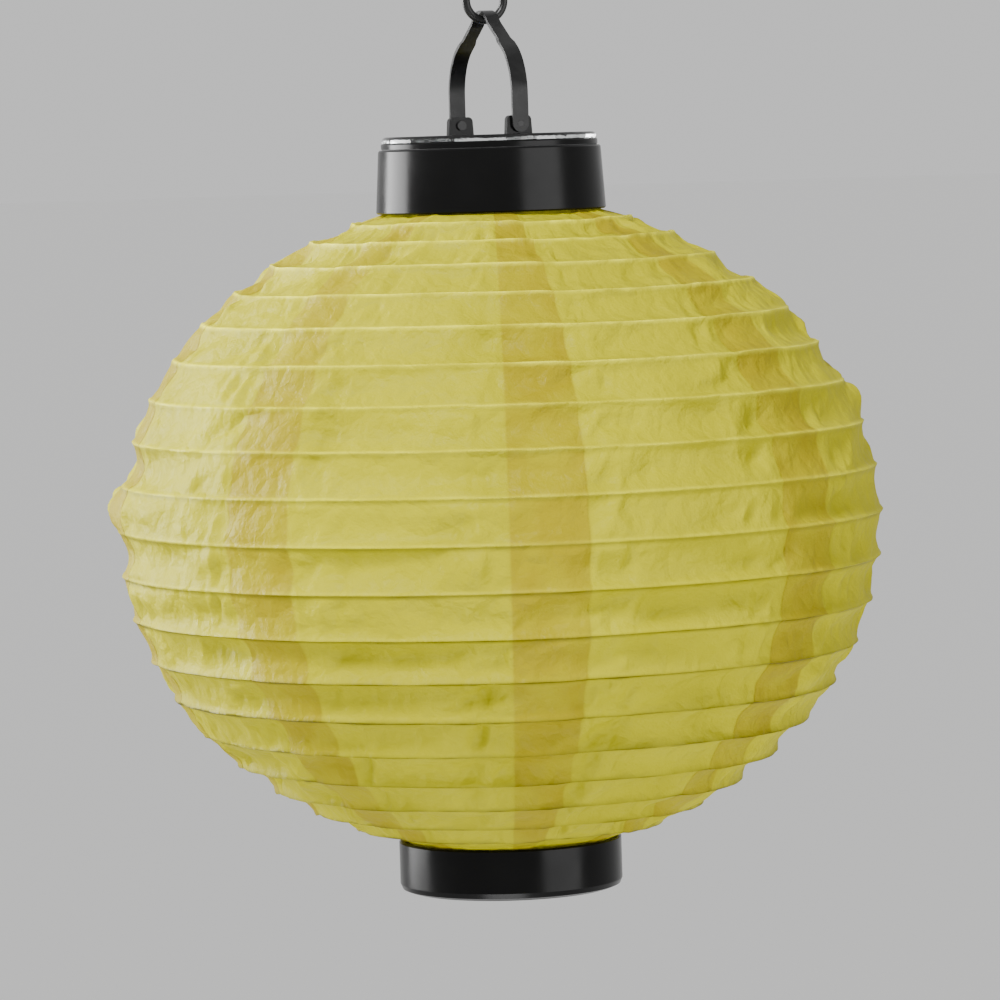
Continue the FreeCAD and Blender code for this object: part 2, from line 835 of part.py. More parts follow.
def base_screws():
    """Four pan-head screws that hold the base to the bosses."""
    foot = -(module_depth + screw_head_thickness)
    shank = rod("screw_shank", boss_x, boss_y, -module_depth, screw_radius, screw_length, cap_level)
    head = rod("screw_head", boss_x, boss_y, foot, screw_head, screw_head_thickness, cap_level)
    screw = joined("screw", shank, head)
    pair = grouped("screw_pair", screw, mirror_of(screw, "screw_across_x", ACROSS_X))
    return grouped("base_screws", pair, mirror_of(pair, "pair_across_y", ACROSS_Y))


def switch_body():
    """The housing of the slide switch, with a channel that the slider runs in."""
    owner = body("switch_body", cap_level)
    outline = rectangle(sketch(owner, "XY_Plane", -base_top), 0, -switch_offset, switch_length, switch_width)
    feature(owner, "PartDesign::Pad", outline, Length=switch_height)
    channel = rectangle(
        sketch(owner, "XY_Plane", -base_top, "channel"),
        0,
        -switch_offset,
        slider_foot + slider_travel + 2 * gap,
        slider_width + 4 * gap,
    )
    through(owner, channel, slider_foot_height + 2 * gap, back=True)
    return owner


def switch_slider():
    """The knob of the switch: a foot in the channel and a stem out through the base."""
    foot = block(
        "slider_foot",
        slot_start - slider_foot / 2,
        -switch_offset - slider_width / 2 - gap / 2,
        gap - base_top,
        slider_foot,
        slider_width + gap,
        slider_foot_height,
        cap_level,
    )
    stem = block(
        "slider_stem",
        slot_start - slider_length / 2,
        -switch_offset - slider_width / 2,
        -(module_depth + slider_proud),
        slider_length,
        slider_width,
        base_thickness + slider_proud + gap,
        cap_level,
    )
    return joined("switch_slider", foot, stem)


def sealing_ring():
    """The soft ring between the rim of the cap and the ledge of the collar."""
    owner = body("sealing_ring", cap_level)
    outer = rim_radius - edge_break / 2
    inner = outer - seal_width
    foot = -(rim_thickness + seal_thickness)
    turned(owner, [(inner, foot), (outer, foot), (outer, -rim_thickness), (inner, -rim_thickness)])
    return owner


def battery_door():
    """The door under the battery bay, with its barrel, pins and finger lip."""
    owner = body("battery_door", cap_level)
    top = -(module_depth + gap)
    free_edge = door_width / 2
    leaf = chain(
        sketch(owner, "YZ_Plane", name="leaf"),
        [
            (door_axis_y, top),
            (door_axis_y - knuckle_radius, door_axis_z, knuckle_radius),
            (door_axis_y, door_axis_z - knuckle_radius, knuckle_radius),
            (door_axis_y + knuckle_radius, door_axis_z, knuckle_radius),
            (door_axis_y + knuckle_radius, top - door_thickness),
            (free_edge, top - door_thickness),
            (free_edge, top),
        ],
    )
    feature(owner, "PartDesign::Pad", leaf, Length=door_length, Midplane=True)
    pins = circle(sketch(owner, "YZ_Plane", name="pins"), door_axis_y, door_axis_z, door_pin)
    feature(owner, "PartDesign::Pad", pins, Length=door_length + 2 * (gap + ear_thickness + gap), Midplane=True)
    lip = rectangle(
        sketch(owner, "XY_Plane", top - door_thickness, "lip"), 0, free_edge, door_width / 2, door_thickness
    )
    feature(owner, "PartDesign::Pad", lip, Length=door_thickness / 2)
    return owner


# ---- collars and clamp rings ------------------------------------------------------------------------------
def top_collar():
    """The black neck: a tapered band with an inner flange, three bayonet notches and a bore for the hem."""
    owner = body("top_collar", cap_level)
    top = -(rim_thickness + gap)
    ledge = -(rim_thickness + seal_thickness + gap)
    rebate = rim_radius + pin_gap * 2
    flange_bore = skirt_radius + gap
    flange_foot = gap - tab_depth
    flange_top = flange_foot + flange_thickness
    shoulder = hem_depth - collar_depth
    turned(
        owner,
        [
            (rebate, top),
            (rebate, ledge),
            (collar_bore, ledge),
            (collar_bore, flange_top),
            (flange_bore, flange_top),
            (flange_bore, flange_foot),
            (collar_bore, flange_foot),
            (collar_bore, shoulder),
            (hem_bore, shoulder),
            (hem_bore, -collar_depth),
            (collar_foot_radius - edge_break, -collar_depth),
            (collar_foot_radius, edge_break - collar_depth),
            (collar_top_radius, top - edge_break),
            (collar_top_radius - edge_break, top),
        ],
    )
    outline = sketch(owner, "XZ_Plane", name="notch")
    outline.AttachmentOffset = FreeCAD.Placement(FreeCAD.Vector(0, 0, 0), FreeCAD.Rotation(ACROSS_Y, 1))
    outline.setExpression("AttachmentOffset.Rotation.Angle", (-twist).text)
    middle = (flange_top + flange_foot) / 2
    reach = collar_bore - flange_bore + 2 * gap
    rectangle(outline, (collar_bore + flange_bore) / 2 - gap, middle, reach, flange_thickness + 2 * gap)
    groove = owner.newObject("PartDesign::Groove", "groove")
    groove.Profile = outline
    groove.ReferenceAxis = (outline, ["V_Axis"])
    groove.setExpression("Angle", (tab_angle + notch_spare).text)
    groove.Midplane = True
    repeated(owner, groove, tab_count)
    return owner


def clamp_ring(label, level, bore, low):
    """A split-free ring that traps the cloth hem inside a collar."""
    owner = body(label, level)
    outer = ring_radius(bore)
    inner = outer - ring_wall
    high = low + hem_depth - 2 * gap
    turned(owner, [(inner, low), (outer, low), (outer, high), (inner, high)])
    return owner


def bottom_collar():
    """The black cup at the foot, eased at its lower edge, with a ledge over the plate."""
    owner = body("bottom_collar", base_level)
    easing = 1 - sine(size(45))
    bore = cup_plate_radius + gap
    ledge = cup_plate_thickness + gap
    shoulder = cup_height - hem_depth
    turned(
        owner,
        [
            (bore, gap),
            (cup_radius - cup_round, gap),
            (cup_radius - cup_round * easing, gap + cup_round * easing),
            (cup_radius, gap + cup_round),
            (cup_radius, cup_height - edge_break),
            (cup_radius - edge_break, cup_height),
            (cup_bore, cup_height),
            (cup_bore, shoulder),
            (bore, shoulder),
            (bore, ledge + cup_ledge),
            (bore - cup_ledge, ledge + cup_ledge),
            (bore - cup_ledge, ledge),
            (bore, ledge),
        ],
    )
    return owner


def bottom_plate():
    """The dished plate that closes the cup; the lantern stands on it when it is put down."""
    owner = body("bottom_plate", base_level)
    turned(
        owner,
        [
            (0, 0),
            (cup_plate_radius - edge_break, 0),
            (cup_plate_radius, edge_break),
            (cup_plate_radius, cup_plate_thickness),
            (cup_plate_radius - cup_ledge, cup_plate_thickness),
            (cup_plate_radius - cup_ledge, cup_plate_floor),
            (0, cup_plate_floor),
        ],
    )
    return owner


# ---- shade ------------------------------------------------------------------------------------------------
def hoop_centre(index):
    """Radius and height of a hoop's wire, inside both layers of cloth, from the middle of the shade."""
    angle = hoop_angle(index)
    out, up = cosine(angle), sine(angle)
    out_part, up_part = shade_half_height * out, shade_radius * up
    steep = root(out_part * out_part + up_part * up_part)
    inset = two_layers + cloth_to_hoop + shade_radius * panel_loss * out
    radius = shade_radius * out - inset * out_part / steep
    height = shade_half_height * up - inset * up_part / steep
    return radius, height


def rib_hoop(index):
    """One closed wire hoop."""
    radius, height = hoop_centre(index)
    tools = []
    for name, offset in (("hoop_outside", hoop_wire / 2), ("hoop_inside", -(hoop_wire / 2))):
        prism = doc.addObject("Part::Prism", name)
        prism.Polygon = hoop_facet_count
        prism.setExpression("Circumradius", (radius + offset).text)
        prism.setExpression("Height", hoop_wire.text)
        prism.setExpression("Placement.Base.z", (shade_level + height - hoop_wire / 2).text)
        tools.append(prism)
    return cut_from(f"rib_hoop_{index + 1:02d}", *tools)


def shade_outline():
    """The skin from the upper hem to the lower hem: (radius, height) above the middle of the shade."""
    top_hem, low_hem = hem_radius(hem_bore), hem_radius(cup_bore)
    ends = [(top_hem, collar_height + hem_top), (top_hem, collar_height - gap)]
    skin = []
    for step in range(2 * hoop_count - 1):
        angle = hoop_angle(step / 2)
        sunk = step % 2 * cloth_hollow
        skin.append(((shade_radius - sunk) * cosine(angle), (shade_half_height - sunk) * sine(angle)))
    feet = [(low_hem, gap - cup_drop), (low_hem, -(cup_drop + hem_top))]
    return [FreeCAD.Vector(r.value, 0, z.value) for r, z in ends + skin + feet]


def moved_in(outline, depth):
    """The outline moved inwards by a depth, with mitred corners."""
    steps = [(b - a).normalize() for a, b in zip(outline, outline[1:])]
    normals = [FreeCAD.Vector(-s.z, 0, s.x) for s in steps]
    before = [normals[0]] + normals
    after = normals + [normals[-1]]
    moved = []
    for spot, one, two in zip(outline, before, after):
        mitre = (one + two) * (1 / (1 + one.dot(two)))
        moved.append(spot - mitre * depth)
    return moved


def fabric_gore(index):
    """One gore of cloth, a thin closed skin of flat panels from hoop to hoop."""
    outline = shade_outline()
    depth = two_layers.value - cloth.value if index % 2 else 0.0
    outer = moved_in(outline, depth)
    inner = moved_in(outline, depth + cloth.value)
    columns = gore_panel_count + overlap_panel_count
    start = gore_turn.value + index * gore_panel_count * panel_angle.value

    def spot(profile, level, column):
        turn = FreeCAD.Rotation(FreeCAD.Vector(0, 0, 1), start + column * panel_angle.value)
        return turn.multVec(profile[level])

    def panel(*corners):
        return Part.Face(Part.makePolygon([*corners, corners[0]]))

    faces = []
    last = len(outline) - 1
    for k in range(last):
        for c in range(columns):
            for profile in (outer, inner):
                corners = [spot(profile, k, c), spot(profile, k, c + 1), spot(profile, k + 1, c + 1)]
                faces.append(panel(*corners, spot(profile, k + 1, c)))
        for c in (0, columns):
            corners = [spot(outer, k, c), spot(outer, k + 1, c), spot(inner, k + 1, c), spot(inner, k, c)]
            faces.append(panel(*corners))
    for k in (0, last):
        for c in range(columns):
            corners = [spot(outer, k, c), spot(outer, k, c + 1), spot(inner, k, c + 1), spot(inner, k, c)]
            faces.append(panel(*corners))
    shell = Part.makeShell(faces)
    solid = Part.makeSolid(shell)
    if solid.Volume < 0:
        solid.reverse()
    made = doc.addObject("Part::Feature", f"fabric_gore_{index + 1}")
    made.Label = f"fabric_gore_{index + 1}"
    made.Shape = solid
    made.Placement = FreeCAD.Placement(FreeCAD.Vector(0, 0, shade_level.value), FreeCAD.Rotation())
    return made


# ---- build, check and write -------------------------------------------------------------------------------
ring_low = gap - collar_depth
cup_ring_low = cup_height - hem_depth + gap
doc.recompute()
nodes = [
    hanging_link(),
    handle_strap(),
    pivot_screws(),
    module_shell(),
    panel_cover(),
    solar_cell(),
    module_base(),
    battery_cell(),
    contact_plate(),
    contact_spring(),
    circuit_board(),
    led_lamps(),
    cell_leads(),
    base_screws(),
    switch_body(),
    switch_slider(),
    sealing_ring(),
    battery_door(),
    top_collar(),
    clamp_ring("top_clamp_ring", cap_level, hem_bore, ring_low),
    bottom_collar(),
    clamp_ring("bottom_clamp_ring", base_level, cup_bore, cup_ring_low),
    bottom_plate(),
]
nodes += [rib_hoop(i) for i in range(hoop_count)]
nodes += [fabric_gore(i) for i in range(gore_count)]
doc.recompute()

for thing in doc.Objects:
    if "Invalid" in thing.State or "Error" in thing.State:
        raise RuntimeError(f"{thing.Name} failed: {thing.State}")
for node in nodes:
    if node.Shape.isNull() or not node.Shape.isValid():
        raise RuntimeError(f"{node.Label} has no valid shape")
for node in nodes:
    node.Shape.exportStep(f"parts/{node.Label}.step")
print(f"{len(nodes)} nodes written")
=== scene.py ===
import json
from math import cos, pi, radians, sin

import bpy
import numpy as np
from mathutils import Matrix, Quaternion, Vector


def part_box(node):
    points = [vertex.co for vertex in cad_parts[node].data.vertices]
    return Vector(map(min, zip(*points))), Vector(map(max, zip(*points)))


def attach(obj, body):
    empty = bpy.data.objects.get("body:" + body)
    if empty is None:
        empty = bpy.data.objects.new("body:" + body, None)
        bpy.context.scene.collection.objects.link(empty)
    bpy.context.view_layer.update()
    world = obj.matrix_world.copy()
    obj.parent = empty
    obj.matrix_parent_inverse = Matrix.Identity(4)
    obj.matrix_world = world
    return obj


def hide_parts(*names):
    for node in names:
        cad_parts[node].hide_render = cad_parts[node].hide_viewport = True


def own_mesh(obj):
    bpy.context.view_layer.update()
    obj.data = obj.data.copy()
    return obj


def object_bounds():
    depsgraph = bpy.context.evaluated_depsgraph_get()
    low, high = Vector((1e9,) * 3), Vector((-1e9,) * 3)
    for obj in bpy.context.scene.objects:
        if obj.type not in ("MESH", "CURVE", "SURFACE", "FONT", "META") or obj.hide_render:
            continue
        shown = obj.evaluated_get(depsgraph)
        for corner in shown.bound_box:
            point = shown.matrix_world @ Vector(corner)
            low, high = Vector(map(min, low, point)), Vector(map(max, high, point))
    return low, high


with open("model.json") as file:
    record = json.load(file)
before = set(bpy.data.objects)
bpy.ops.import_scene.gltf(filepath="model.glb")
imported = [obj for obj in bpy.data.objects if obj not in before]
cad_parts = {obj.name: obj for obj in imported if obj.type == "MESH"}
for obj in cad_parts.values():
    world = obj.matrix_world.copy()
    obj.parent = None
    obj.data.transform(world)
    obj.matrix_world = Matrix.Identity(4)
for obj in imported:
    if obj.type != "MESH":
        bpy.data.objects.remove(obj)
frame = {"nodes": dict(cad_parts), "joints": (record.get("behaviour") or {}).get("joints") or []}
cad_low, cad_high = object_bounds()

# A round hanging lantern: eight gores of thin lemon cloth over nineteen wire hoops, between a black cap
# with a solar lamp in it and a black cup. Metres; the origin is the inner top of the hanging link, +Z up.

MM = 0.001
TURN = 2 * pi

# ---- sizes ------------------------------------------------------------------------------------------------
cloth_thickness = 0.30 * MM
layer_gap = 0.25 * MM
cloth_off_wire = 0.25 * MM
bead_height = 0.50 * MM
bead_width = 0.90 * MM
cloth_off_ring = 0.10 * MM
collar_gap = 0.30 * MM
gore_count = 8
gore_span = TURN / gore_count
overlap_span = gore_span / 4
edge_taper = radians(3)
first_seam = radians(26.8)
columns_per_gore = 170
rows_per_band = 14
rows_per_hem = 3
hoop_sides = 120
wire_sides = 10
lattice_rows = 256
sharp_from = radians(65)

# The usual side: the direction from the lantern to the viewer, as an angle from +X.
viewed_from = radians(-109.6)


# ---- numpy helpers ----------------------------------------------------------------------------------------
def lattice(across, along, turns, seed):
    """Random heights from -1 to 1 at the corners of a square lattice. It closes on itself after `turns`
    cells across, so that a field on an angle meets itself. Gives a function from a corner of each place's
    cell to its height, and each place's share of its cell across and along."""
    heights = np.random.default_rng(seed).uniform(-1, 1, (turns, lattice_rows))
    cell_across, cell_along = np.floor(across).astype(int), np.floor(along).astype(int)

    def corner(i, j):
        return heights[(cell_across + i) % turns, (cell_along + j) % lattice_rows]

    return corner, across - cell_across, along - cell_along


def smooth_noise(across, along, turns, seed):
    """A field from -1 to 1: the heights of a lattice, joined by cubic steps between its corners."""
    corner, u, v = lattice(across, along, turns, seed)
    u, v = u * u * (3 - 2 * u), v * v * (3 - 2 * v)
    near = corner(0, 0) * (1 - u) + corner(1, 0) * u
    far = corner(0, 1) * (1 - u) + corner(1, 1) * u
    return near * (1 - v) + far * v


def facets(across, along, turns, seed):
    """A field from -1 to 1: the heights of a lattice whose cells are cut into two flat triangles, so that
    flat facets meet in sharp creases. A smooth field bends the lattice first."""
    bent = 0.45 * smooth_noise(across, along, turns, seed + 1)
    corner, u, v = lattice(across + bent, along + 0.7 * bent, turns, seed)
    lower = corner(0, 0) + (corner(1, 0) - corner(0, 0)) * u + (corner(0, 1) - corner(0, 0)) * v
    upper = corner(1, 1) + (corner(0, 1) - corner(1, 1)) * (1 - u) + (corner(1, 0) - corner(1, 1)) * (1 - v)
    return np.where(u + v < 1, lower, upper)


def bump_at(distance, width):
    """A bell of height 1 and the given width around zero distance."""
    return np.exp(-((distance / width) ** 2))


def around(angle, centre):
    """The smallest turn from a centre to an angle."""
    return (angle - centre + pi) % TURN - pi


def new_piece(name, points, faces, finish):
    """A smooth mesh object at the origin from an array of points and an array of four-cornered faces.
    Edges that turn more than `sharp_from` stay sharp."""
    mesh = bpy.data.meshes.new(name)
    mesh.from_pydata(points.reshape(-1, 3), [], faces)
    mesh.polygons.foreach_set("use_smooth", np.full(len(mesh.polygons), True))
    mesh.materials.append(finish)
    mesh.set_sharp_from_angle(angle=sharp_from)
    mesh.update()
    piece = bpy.data.objects.new(name, mesh)
    bpy.context.scene.collection.objects.link(piece)
    return piece


def grid_faces(rows, columns, start=0):
    """Corner numbers of every cell of a grid of points, row by row."""
    corner = start + np.arange(rows * columns).reshape(rows, columns)
    cells = [corner[:-1, :-1], corner[:-1, 1:], corner[1:, 1:], corner[1:, :-1]]
    return np.stack(cells, axis=-1).reshape(-1, 4)


def closed_sheet_faces(rows, columns):
    """Faces of a thin sheet made of an outer grid and an inner grid, joined by a strip round the edge."""
    count = rows * columns
    outer = np.arange(count).reshape(rows, columns)
    rim = np.concatenate([outer[0, :-1], outer[:-1, -1], outer[-1, :0:-1], outer[:0:-1, 0]])
    following = np.roll(rim, -1)
    edge = np.stack([rim, rim + count, following + count, following], axis=-1)
    outside = grid_faces(rows, columns)
    inside = grid_faces(rows, columns, count)[:, ::-1]
    return np.concatenate([outside, inside, edge])


# ---- shader helpers ---------------------------------------------------------------------------------------
class Socket:
    """An output socket of a finish. Sums, differences and products with it add Math nodes."""

    def __init__(self, finish, link):
        self.finish = finish
        self.link = link

    def _with(self, operation, first, second):
        return self.finish.node("ShaderNodeMath", {"operation": operation}, {0: first, 1: second})

    def __add__(self, other):
        return self._with("ADD", self, other)

    def __radd__(self, other):
        return self._with("ADD", other, self)

    def __sub__(self, other):
        return self._with("SUBTRACT", self, other)

    def __rsub__(self, other):
        return self._with("SUBTRACT", other, self)

    def __mul__(self, other):
        return self._with("MULTIPLY", self, other)

    def __rmul__(self, other):
        return self._with("MULTIPLY", other, self)


class Finish:
    """A material while it is written. The surface starts as one Principled shader."""

    def __init__(self, name, color, roughness, constants=None):
        self.material = bpy.data.materials.new(name)
        self.material.use_nodes = True
        self.material.diffuse_color = color
        self.tree = self.material.node_tree
        self.tree.nodes.clear()
        self.output = self.tree.nodes.new("ShaderNodeOutputMaterial")
        values = {"Base Color": color, "Roughness": roughness, **(constants or {})}
        self.shader = self.node("ShaderNodeBsdfPrincipled", {}, values, "BSDF")
        self.surface(self.shader)

    def node(self, kind, settings=None, values=None, output=0):
        """Add a node: its type, its settings, and the values or links of its sockets by name or number."""
        made = self.tree.nodes.new(kind)
        for setting, value in (settings or {}).items():
            setattr(made, setting, value)
        for socket, value in (values or {}).items():
            self.feed(made.inputs[socket], value)
        return Socket(self, made.outputs[output])

    def feed(self, entry, value):
        """Link or set one input socket."""
        if isinstance(value, Socket):
            self.tree.links.new(value.link, entry)
        else:
            entry.default_value = value

    def vary(self, name, value):
        """Feed one more socket of the Principled shader."""
        self.feed(self.shader.link.node.inputs[name], value)

    def surface(self, shader):
        """Make a shader the material's surface."""
        self.tree.links.new(shader.link, self.output.inputs["Surface"])

    def place(self):
        """The point's place in the lantern's own frame."""
        return self.node("ShaderNodeTexCoord", output="Object")

    def axis(self, name):
        """One coordinate of the point's place."""
        return self.node("ShaderNodeSeparateXYZ", {}, {0: self.place()}, name)

    def attribute(self, name):
        """A number that a piece's mesh carries."""
        return self.node("ShaderNodeAttribute", {"attribute_name": name}, output="Fac")

    def noise(self, scale, detail=2.0, roughness=0.5):
        """A cloudy pattern from 0 to 1, with `scale` cells to the metre."""
        values = {"Vector": self.place(), "Scale": scale, "Detail": detail, "Roughness": roughness}
        return self.node("ShaderNodeTexNoise", {}, values, "Fac")

    def between(self, value, low, high, to_low=0.0, to_high=1.0):
        """A value carried from one range to another, held at both ends."""
        values = {"Value": value, 1: low, 2: high, 3: to_low, 4: to_high}
        return self.node("ShaderNodeMapRange", {"clamp": True}, values)

    def mixed(self, share, first, second):
        """Two colours mixed by a share."""
        return self.node("ShaderNodeMix", {"data_type": "RGBA"}, {0: share, 6: first, 7: second}, 2)

    def bump(self, height, depth, strength=1.0):
        """A bumped normal, `depth` metres deep."""
        return self.node("ShaderNodeBump", {}, {"Height": height, "Distance": depth, "Strength": strength})


# ---- finishes ---------------------------------------------------------------------------------------------
def plastic(name, color, roughness, grain, gloss=0.5):
    """Moulded plastic: one colour, with a fine grain in its gloss and in its surface."""
    made = Finish(name, color, roughness, {"Specular IOR Level": gloss})
    cloud = made.noise(90, 3)
    fine = made.noise(grain, 2)
    made.vary("Roughness", made.between(cloud, 0.3, 0.7, roughness * 0.85, roughness * 1.2))
    made.vary("Normal", made.bump(fine, 0.02 * MM, 0.35))
    return made.material


def metal(name, color, roughness):
    """Plain metal with a faint rolled grain."""
    made = Finish(name, color, roughness, {"Metallic": 1.0})
    grain = made.noise(4000, 2)
    made.vary("Roughness", made.between(grain, 0.2, 0.8, roughness * 0.8, roughness * 1.25))
    return made.material


def painted(name, color, roughness):
    """Painted steel: paint over small waves, worn a little lighter in cloudy places."""
    made = Finish(name, color, roughness, {"Specular IOR Level": 0.16})
    cloud = made.noise(260, 3)
    lighter = tuple(min(1.0, c * 1.9) for c in color[:3]) + (1,)
    made.vary("Base Color", made.mixed(made.between(cloud, 0.45, 0.8, 0, 0.5), color, lighter))
    made.vary("Roughness", made.between(cloud, 0.3, 0.7, roughness * 0.85, roughness * 1.25))
    made.vary("Normal", made.bump(made.noise(1800, 2), 0.03 * MM, 0.3))
    return made.material


def clear_plastic(name):
    """The clear cover: nearly colourless, slightly cloudy from the mould."""
    made = Finish(name, (0.93, 0.95, 0.95, 1), 0.05, {"Transmission Weight": 1.0, "IOR": 1.45})
    made.vary("Roughness", made.between(made.noise(320, 3), 0.35, 0.7, 0.02, 0.12))
    made.vary("Normal", made.bump(made.noise(240, 2), 0.4 * MM, 0.3))
    return made.material


def solar_cell(name):
    """Dark silicon with thin silver fingers across it and two broader bars along it."""
    low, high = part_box("solar_cell")
    finger_pitch, finger_width = 2.0 * MM, 0.14 * MM
    bar_pitch, bar_width = (high.y - low.y) / 2, 1.1 * MM
    soft_edge = 0.05 * MM
    made = Finish(name, (0.02, 0.03, 0.09, 1), 0.22, {"Coat Weight": 0.6, "Coat Roughness": 0.08})

    def lines(axis, start, pitch, width):
        values = {0: made.axis(axis) - start, 1: pitch / 2}
        from_line = made.node("ShaderNodeMath", {"operation": "PINGPONG"}, values)
        return made.between(from_line, width / 2, width / 2 + soft_edge, 1, 0)

    fingers = lines("X", low.x, finger_pitch, finger_width)
    bars = lines("Y", low.y + bar_pitch / 2, bar_pitch, bar_width)
    silver = made.node("ShaderNodeMath", {"operation": "MAXIMUM"}, {0: fingers * 0.7, 1: bars})
    flecks = made.mixed(made.noise(420, 2), (0.012, 0.02, 0.06, 1), (0.03, 0.05, 0.16, 1))
    made.vary("Base Color", made.mixed(silver, flecks, (0.62, 0.63, 0.66, 1)))
    made.vary("Roughness", 0.22 + 0.2 * silver)
    return made.material


def battery_wrap(name):
    """A shrink sleeve of plain green with bare metal at both ends."""
    low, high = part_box("battery_cell")
    sleeve_end, soft_edge = 1.2 * MM, 0.1 * MM
    green, bare_metal = (0.05, 0.32, 0.12, 1), (0.7, 0.7, 0.68, 1)
    made = Finish(name, green, 0.25, {"Coat Weight": 0.3})
    middle, half = (low.x + high.x) / 2, (high.x - low.x) / 2
    from_middle = made.node("ShaderNodeMath", {"operation": "ABSOLUTE"}, {0: made.axis("X") - middle})
    bare = made.between(from_middle, half - sleeve_end, half - sleeve_end + soft_edge)
    made.vary("Base Color", made.mixed(bare, green, bare_metal))
    made.vary("Metallic", bare)
    made.vary("Roughness", 0.25 + 0.1 * made.noise(800, 2))
    return made.material


def board(name):
    """Green laminate with paler copper runs under the mask."""
    made = Finish(name, (0.02, 0.16, 0.06, 1), 0.3, {"Coat Weight": 0.4})
    values = {"Vector": made.place(), "Scale": 260.0}
    cells = made.node("ShaderNodeTexBrick", {"offset": 0.5}, values, "Fac")
    runs = made.between(cells, 0.2, 0.8)
    made.vary("Base Color", made.mixed(runs * 0.6, (0.015, 0.13, 0.05, 1), (0.05, 0.3, 0.1, 1)))
    return made.material


def lamp_resin(name):
    """Milky epoxy of the lamps."""
    made = Finish(name, (0.9, 0.9, 0.84, 1), 0.12, {"Transmission Weight": 0.45, "IOR": 1.5})
    made.vary("Roughness", made.between(made.noise(500, 2), 0.3, 0.7, 0.08, 0.2))
    return made.material


def rubber(name):
    """Dull black rubber."""
    made = Finish(name, (0.03, 0.03, 0.03, 1), 0.75)
    made.vary("Roughness", made.between(made.noise(900, 3), 0.3, 0.7, 0.65, 0.85))
    return made.material


def lantern_cloth(name):
    """Thin lemon cloth that lets light through. Where two gores overlap it is deeper and more golden.
    Over a wire above the middle it has a painted highlight, over one at the very bottom painted shade,
    and a painted shadow line runs under each wire, strongest low down. Fine creases are bumps. The light
    that it lets through is a share of a Translucent shader, less where the cloth is double or lies on a
    wire."""
    lemon, pale, golden = (0.40, 0.375, 0.0, 1), (0.46, 0.435, 0.0, 1), (0.30, 0.245, 0.0, 1)
    shade_olive, painted_glint = (0.05, 0.045, 0.0, 1), (0.80, 0.78, 0.03, 1)
    lit_through = (0.56, 0.51, 0.0, 1)
    made = Finish(name, lemon, 0.5, {"Specular IOR Level": 0.12})
    cloud = made.noise(24, 3)
    double = made.attribute("doubled")
    on_wire = made.attribute("on_wire")
    wire_shadow = made.attribute("wire_shadow")
    centre = (cad_high.z + cad_low.z) / 2
    low_down = made.between(made.axis("Z"), centre + 30 * MM, centre - 60 * MM)
    base = made.mixed(made.between(cloud, 0.35, 0.7), lemon, pale)
    patchy = made.between(made.noise(55, 2), 0.3, 0.6, 0.55, 1.0)
    base = made.mixed(double * patchy, base, golden)
    # Painted highlight: over each wire above the middle the colour is mixed towards a pale bright yellow.
    base = made.mixed(on_wire * (1 - low_down) * 0.9, base, painted_glint)
    lowest = made.between(made.axis("Z"), centre - 60 * MM, centre - 90 * MM)
    # Painted shade: a shadow line under each wire, strongest low down, and shade over the wires at the very
    # bottom, mixed towards a very deep yellow-brown.
    painted_shade = wire_shadow * (0.15 + 0.85 * low_down) + on_wire * lowest * 0.75
    made.vary("Base Color", made.mixed(painted_shade, base, shade_olive))
    made.vary("Roughness", made.between(made.noise(160, 2), 0.3, 0.7, 0.42, 0.58))
    values = {"Vector": made.place(), "Scale": 130.0}
    from_crease = made.node("ShaderNodeTexVoronoi", {"feature": "DISTANCE_TO_EDGE"}, values)
    crinkle = made.noise(300, 3, 0.6) + 0.5 * made.between(from_crease, 0.0, 0.35)
    made.vary("Normal", made.bump(crinkle, 1.1 * MM, 0.7))
    through = made.node("ShaderNodeBsdfTranslucent", {}, {"Color": lit_through})
    share = 0.42 - 0.06 * double * patchy - 0.2 * on_wire
    made.surface(made.node("ShaderNodeMixShader", {}, {0: share, 1: made.shader, 2: through}))
    return made.material


finishes = {
    "link_steel": painted("black_link", (0.006, 0.006, 0.006, 1), 0.34),
    "strap_metal": painted("black_strap", (0.005, 0.005, 0.005, 1), 0.3),
    "cap_plastic": plastic("black_cap", (0.002, 0.002, 0.002, 1), 0.22, 1500, 0.10),
    "clear_cover": clear_plastic("cover_clear"),
    "solar_silicon": solar_cell("dark_silicon"),
    "inner_plastic": plastic("dull_black", (0.035, 0.035, 0.036, 1), 0.5, 2200),
    "switch_plastic": plastic("switch_grey", (0.06, 0.06, 0.062, 1), 0.45, 2200),
    "slider_plastic": plastic("slider_white", (0.78, 0.77, 0.73, 1), 0.4, 2200),
    "battery_wrap": battery_wrap("green_sleeve"),
    "contact_metal": metal("nickel_spring", (0.72, 0.7, 0.66, 1), 0.3),
    "board_laminate": board("green_board"),
    "diode_resin": lamp_resin("milky_lamp"),
    "lead_copper": metal("bare_copper", (0.8, 0.42, 0.25, 1), 0.35),
    "screw_steel": painted("black_screw", (0.012, 0.012, 0.012, 1), 0.3),
    "seal_rubber": rubber("black_rubber"),
    "hoop_steel": metal("bright_wire", (0.62, 0.62, 0.6, 1), 0.32),
    "lantern_cloth": lantern_cloth("lemon_cloth"),
}
for node in frame["nodes"].values():
    for slot in node.material_slots:
        slot.material = finishes[slot.material.name]


# ---- wire hoops -------------------------------------------------------------------------------------------
def hoop_size(name):
    """A hoop's radius, its level and the radius of its wire, from the box of its solid."""
    low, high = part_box(name)
    wire = (high.z - low.z) / 2
    return high.x - wire, low.z + wire, wire


